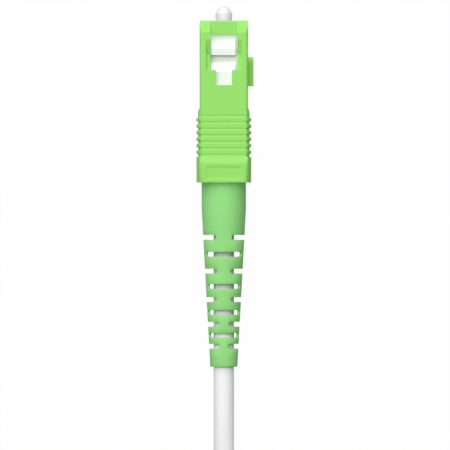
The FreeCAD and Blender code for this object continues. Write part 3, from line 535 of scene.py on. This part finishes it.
@dataclass
class Connector:
    """One connector of the lead: its CAD pieces' finishes, its spring and its buffered fibre.

    Places along the connector are given behind the front face, in millimetres.
    """

    end: End
    palette: Palette
    spring_front: float = 6.32
    spring_back: float = 13.03
    spring_radius: float = 1.78
    spring_wire: float = 0.2
    spring_turns: float = 7.0
    closed_turns: float = 0.8
    closed_pitch: float = 0.42
    float_travel: float = 1.0
    buffer_front: float = 8.62
    buffer_back: float = 50.5
    buffer_radius: float = 0.45
    buffer_edge: float = 0.12
    plain_softness: float = 0.02
    edge_softness: dict[str, float] = field(default_factory=lambda: {
        "outer_housing": 0.03, "plug_frame": 0.03, "boot": 0.015, "ferrule_flange": 0.06,
        "crimp_body": 0.05, "crimp_sleeve": 0.05, "ferrule": 0.03})
    flat_sided: tuple[str, ...] = ("outer_housing", "plug_frame", "ferrule_flange", "crimp_body")
    node_finishes: dict[str, str] = field(default_factory=lambda: {
        "outer_housing": "housing", "plug_frame": "plug_frame", "ferrule": "ferrule",
        "ferrule_flange": "metal", "fibre": "glass", "crimp_body": "brass", "guide_tube": "guide",
        "crimp_sleeve": "metal", "aramid_yarn": "yarn", "cable_jacket": "cable", "boot": "boot"})

    def placed(self, points: np.ndarray) -> np.ndarray:
        """Carries points from the near connector, in millimetres, to this connector, in metres.

        The far connector is the near one after half a turn about the upward axis, with its ferrule's
        middle at the middle of far_ferrule.
        """
        if self.end is End.NEAR:
            return points * MM
        near, far = (np.mean(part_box(name), axis=0) for name in ("ferrule", "far_ferrule"))
        half_turn = np.array([-1, -1, 1])
        return points * MM * half_turn + (far - near * half_turn)

    def dress_nodes(self) -> None:
        """Gives every CAD piece of the connector its finish and its softened edges."""
        for name, finish in self.node_finishes.items():
            piece = frame["nodes"][self.end.own(name)]
            self.palette.dress(piece, finish)
            width = self.edge_softness.get(name, self.plain_softness) * MM
            soften_edges(piece, width, FLAT_WORK if name in self.flat_sided else ROUND_WORK)
            LOG.info("%s: %s", self.end.own(name), finish)

    def build_spring(self) -> bpy.types.Object:
        """The compression spring, with closed end turns.

        Its middle line is (R cos p, y(p), R sin p). The pitch is small over the closed turns at both ends
        and even between them.
        """
        steps, facets = 60 * int(self.spring_turns), 14
        turns = np.linspace(0, self.spring_turns, steps)
        closed = np.minimum(turns, self.spring_turns - turns) < self.closed_turns
        length = self.spring_back - self.spring_front - 2 * self.spring_wire
        both_closed = 2 * self.closed_turns
        open_pitch = (length - self.closed_pitch * both_closed) / (self.spring_turns - both_closed)
        pitch = np.where(closed, self.closed_pitch, open_pitch)
        travel = np.concatenate([[0], np.cumsum((pitch[1:] + pitch[:-1]) / 2 * np.diff(turns))])
        back = self.spring_front + self.spring_wire + travel * length / travel[-1]
        angle = 2 * math.pi * turns
        radial = np.column_stack([np.cos(angle), np.zeros(steps), np.sin(angle)])
        centres = self.spring_radius * radial + np.column_stack([np.zeros(steps), -back, np.zeros(steps)])
        along = np.gradient(centres, axis=0)
        along /= np.linalg.norm(along, axis=1, keepdims=True)
        ups = np.cross(along, radial)
        points = tube_along(centres, radial, ups, self.spring_wire, facets)
        piece = grid_mesh(self.end.own("coil_spring"), self.placed(points)[:, ::-1], wraps=True)
        self.finish_piece(piece, "spring", "spring_steel")
        return piece

    def build_buffer(self) -> bpy.types.Object:
        """The buffered fibre: (r cos v, y, r sin v) along the axis, with its front edge rounded."""
        edge_rows, rows, facets = 6, 24, 28
        ease = np.linspace(0, math.pi / 2, edge_rows)
        edge = self.buffer_front + self.buffer_edge * (1 - np.cos(ease))
        straight = np.linspace(self.buffer_front + 2 * self.buffer_edge, self.buffer_back, rows)
        back = np.concatenate([edge, straight])[:, None]
        edge_radius = self.buffer_radius - self.buffer_edge * (1 - np.sin(ease))
        radius = np.concatenate([edge_radius, np.full(rows, self.buffer_radius)])[:, None]
        angle = np.linspace(0, 2 * math.pi, facets, endpoint=False)
        along = np.broadcast_to(-back, (edge_rows + rows, facets))
        points = np.stack([radius * np.cos(angle), along, radius * np.sin(angle)], -1)
        piece = grid_mesh(self.end.own("buffered_fibre"), self.placed(points)[:, ::-1], wraps=True)
        self.finish_piece(piece, "buffer", "buffer")
        return piece

    def finish_piece(self, piece: bpy.types.Object, node: str, finish: str) -> None:
        """Dresses a piece, attaches it to the plug's body and hides the node that it stands for.

        Args:
            piece: The piece.
            node: The node that it stands for, on the near connector.
            finish: The name of its finish.
        """
        self.palette.dress(piece, finish)
        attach(piece, "plug")
        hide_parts(self.end.own(node))
        self.end.own("ferrule_float")
        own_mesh(piece)

    def build(self) -> None:
        """Builds and dresses the connector."""
        self.dress_nodes()
        for piece in (self.build_spring(), self.build_buffer()):
            LOG.info("%s: %d faces", piece.name, len(piece.data.polygons))


# ---------------------------------------------------------------- the lead


@dataclass
class Lead:
    """The free cable between the two connectors: a lead, a tied hank of four turns, and a tail.

    The sizes are in millimetres, apart from the cord's length. The hank is a bundle of two strands by two.
    Each near fold turns the bundle's strands a quarter round its middle, so that the cable goes to the
    next place.
    """

    palette: Palette
    length: float = 0.8946
    diameter: float = 3.1
    tie_softness: float = 0.08
    steps_along: int = 12
    steps_round: int = 8
    fold_back: float = 81.0
    fold_run: float = 71.7
    fold_inner: float = 9.4
    middle_height: float = -1.25
    fold_lift: float = 0.64
    fold_points: int = 9
    turns: int = 4
    lead_route: tuple[Point, ...] = ((0, -50.5, 0), (0, -58.5, 0), (0, -72.5, -2.8), (0, -81, -2.8))
    tail_route: tuple[Point, ...] = (
        (25, -107, 0.3), (24.9, -99.5, 0.6), (24.1, -89.5, 3.6), (23.45, -78.1, 4.6), (20.5, -73, 4.7),
        (15.4, -70.05, 4.75), (9.6, -70.05, 4.75), (4.5, -73, 4.5), (1.55, -78.1, 4), (1.55, -84, 3.5),
        (1.55, -94.5, 6.7), (1.55, -99.95, 6.7))

    def strand(self, angle: float, lift: float = 0.0) -> tuple[float, float]:
        """Where a strand lies in a fold: at spread * (cos angle, sin angle) from the bundle's middle.

        The spread is 0.707 diameters, so that neighbouring strands touch.

        Args:
            angle: The strand's angle round the bundle's middle, from the outward direction.
            lift: How far the bundle's middle is moved outward and up.

        Returns:
            The strand's distance from the fold's centre, and its height.
        """
        spread = self.diameter / math.sqrt(2)
        outward = self.fold_inner + self.diameter / 2 + lift + spread * math.cos(angle)
        return outward, self.middle_height + lift + spread * math.sin(angle)

    def hank_points(self) -> list[Point]:
        """The hank's control points, turn by turn.

        In a fold, the point at angle t is centre + R (cos t, sin t), with R divided by the cosine of half
        a step, because the curve runs inside its points.
        """
        step = math.pi / self.fold_points
        quarter = math.pi / 2
        centre = self.fold_inner + self.diameter
        near, far = -self.fold_back, -(self.fold_back + self.fold_run)
        lead_in = (self.fold_inner + self.diameter / 2) * math.tan(step / 2)
        points = []
        for turn in range(self.turns):
            rest_angle = -quarter / 2 - turn * quarter
            radius, height = self.strand(rest_angle)
            reach = radius / math.cos(step / 2)
            points.append((centre - radius, far + lead_in, height))
            for k in range(self.fold_points):
                angle = math.pi + (k + 0.5) * step
                points.append((centre + reach * math.cos(angle), far + reach * math.sin(angle), height))
            points.append((centre + radius, far + lead_in, height))
            if turn == self.turns - 1:
                break
            points.append((centre + radius, near - lead_in, height))
            for k in range(self.fold_points):
                share = (k + 0.5) / self.fold_points
                radius, height = self.strand(rest_angle - share * quarter,
                                             self.fold_lift * math.sin(math.pi * share))
                reach, angle = radius / math.cos(step / 2), math.pi * share
                points.append((centre + reach * math.cos(angle), near + reach * math.sin(angle), height))
            radius, height = self.strand(rest_angle - quarter)
            points.append((centre - radius, near - lead_in, height))
        return points

    def build(self) -> bpy.types.Object:
        """Builds the cable as one open NURBS spline through the lead, the hank and the tail."""
        route = [*self.lead_route, *self.hank_points(), *self.tail_route]
        curve = bpy.data.curves.new("cable", "CURVE")
        curve.dimensions = "3D"
        curve.resolution_u = self.steps_along
        curve.bevel_depth = self.diameter / 2 * MM
        curve.bevel_resolution = self.steps_round
        curve.use_fill_caps = True
        spline = curve.splines.new("NURBS")
        spline.points.add(len(route) - 1)
        for point, place in zip(spline.points, route):
            point.co = (*(value * MM for value in place), 1.0)
        spline.order_u = 3
        spline.use_endpoint_u = True
        spline.use_smooth = True
        piece = bpy.data.objects.new("cable", curve)
        bpy.context.scene.collection.objects.link(piece)
        self.palette.dress(piece, "cable")
        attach(piece, "plug")
        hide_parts("cable_lead", "cable_hank", "cable_tail")
        LOG.info("%s: a spline of %d points", piece.name, len(route))
        return piece

    def dress_ties(self) -> list[str]:
        """Gives the two ties their finish.

        Returns:
            Their names.
        """
        names = ["hank_tie_left", "hank_tie_right"]
        for name in names:
            self.palette.dress(frame["nodes"][name], "strap")
            soften_edges(frame["nodes"][name], self.tie_softness * MM, ROUND_WORK)
            LOG.info("%s: strap", name)
        return names

    def declare(self) -> None:
        list(self.dress_ties())


# ---------------------------------------------------------------- stage


@dataclass
class Stage:
    """The table, the lights and the camera. Places are in millimetres."""

    table_height: float = -4.75
    view_middle: tuple[float, float] = (0.18, -30.96)
    view_width: float = 68.18
    view_height: float = 3.0
    lens: float = 1000.0
    sensor: float = 36.0
    clip: tuple[float, float] = (50.0, 20000.0)
    table_reach: float = 2000.0
    table_white: float = 0.36
    camera_white: float = 0.985
    sky: float = 0.04
    front_sky: float = 5.4
    front_sharpness: float = 10.0
    front_way: Point = (-0.19, 0.32, 0.93)
    key_power: float = 4.2
    key_place: Point = (0.0, 680.0, 320.0)
    key_size: float = 700.0

    def build_table(self) -> None:
        """A plain pale table, which the camera sees nearly white, with a trace of the shadow."""
        reach, height = self.table_reach, self.table_height
        corners = np.array([[[-reach, -reach, height], [reach, -reach, height]],
                            [[-reach, reach, height], [reach, reach, height]]])
        table = grid_mesh("table", corners * MM, wraps=False)
        material = bpy.data.materials.new("pale_table")
        material.use_nodes = True
        graph = Graph(material.node_tree)
        graph.nodes.clear()
        paint = graph.add("ShaderNodeBsdfDiffuse", {"Color": (*shade(EVEN, self.table_white), 1.0)})
        glow = graph.add("ShaderNodeEmission", {"Strength": 1.0})
        share = graph.worked_out("MULTIPLY", graph.direct_rays(), self.camera_white)
        mix = graph.add("ShaderNodeMixShader", {0: share, 1: paint.outputs[0], 2: glow.outputs[0]})
        graph.add("ShaderNodeOutputMaterial", {"Surface": mix.outputs[0]})
        table.data.materials.append(material)

    def build_sky(self) -> None:
        """A dim sky, bright around the direction front_way, that the camera and reflections see white.

        Its strength towards a direction d is sky + front_sky * max(0, d . front_way) ** front_sharpness.
        """
        world = bpy.data.worlds.new("sky")
        bpy.context.scene.world = world
        world.use_nodes = True
        graph = Graph(world.node_tree)
        graph.nodes.clear()
        way = graph.add("ShaderNodeTexCoord", {}).outputs["Generated"]
        towards = graph.add("ShaderNodeVectorMath", {0: way, 1: self.front_way}, operation="DOT_PRODUCT")
        ahead = graph.worked_out("MAXIMUM", towards.outputs["Value"], 0.0)
        narrowed = graph.worked_out("POWER", ahead, self.front_sharpness)
        strength = graph.worked_out("MULTIPLY_ADD", narrowed, self.front_sky, self.sky)
        light = graph.add("ShaderNodeBackground", {"Color": (*EVEN, 1.0), "Strength": strength})
        seen = graph.add("ShaderNodeBackground", {"Color": (*EVEN, 1.0), "Strength": 1.0})
        mix = graph.add("ShaderNodeMixShader", {
            0: graph.direct_rays(), 1: light.outputs[0], 2: seen.outputs[0]})
        graph.add("ShaderNodeOutputWorld", {"Surface": mix.outputs[0]})

    def build_key(self) -> None:
        """A large soft lamp low in front of the ferrule.

        Only the table and the CAD pieces block it, without the coupling sleeves: the boots behind their
        collars stay evenly lit.
        """
        lamp = bpy.data.lights.new("key", "AREA")
        lamp.shape = "DISK"
        lamp.size = self.key_size * MM
        lamp.energy = self.key_power
        holder = bpy.data.objects.new("key", lamp)
        bpy.context.scene.collection.objects.link(holder)
        place = Vector(self.key_place) * MM
        aim = Vector((self.view_middle[0], self.view_middle[1], 0)) * MM
        holder.location = place
        holder.rotation_euler = (aim - place).to_track_quat("-Z", "Y").to_euler()
        blockers = bpy.data.collections.new("key_blockers")
        for piece in bpy.context.scene.objects:
            if piece.type != "LIGHT" and not piece.name.endswith("outer_housing"):
                blockers.objects.link(piece)
        holder.light_linking.blocker_collection = blockers

    def build_camera(self) -> None:
        """A long lens straight above, with the ferrule up."""
        camera = bpy.data.cameras.new("camera")
        camera.lens = self.lens
        camera.sensor_width = self.sensor
        distance = self.view_width * self.lens / self.sensor
        camera.clip_start, camera.clip_end = (value * MM for value in self.clip)
        holder = bpy.data.objects.new("camera", camera)
        bpy.context.scene.collection.objects.link(holder)
        holder.location = Vector((*self.view_middle, self.view_height + distance)) * MM
        bpy.context.scene.camera = holder

    def build(self) -> None:
        """Builds the whole stage and sets the plain view transform."""
        bpy.context.scene.view_settings.view_transform = "Standard"
        self.build_table()
        self.build_sky()
        self.build_key()
        self.build_camera()


def main() -> None:
    """Builds the stage, the lead and the two connectors."""
    logging.basicConfig(level=logging.INFO, format="%(name)s: %(message)s")
    Stage().build()
    palette = Palette(Finishes())
    lead = Lead(palette)
    cable = lead.build()
    connectors = [Connector(end, palette) for end in End]
    for connector in connectors:
        connector.build()
        LOG.info("%s connector dressed", connector.end.name.lower())
    far_nodes = [End.FAR.own(name) for name in connectors[1].node_finishes]
    lead.declare()


if __name__ == "__main__":
    main()
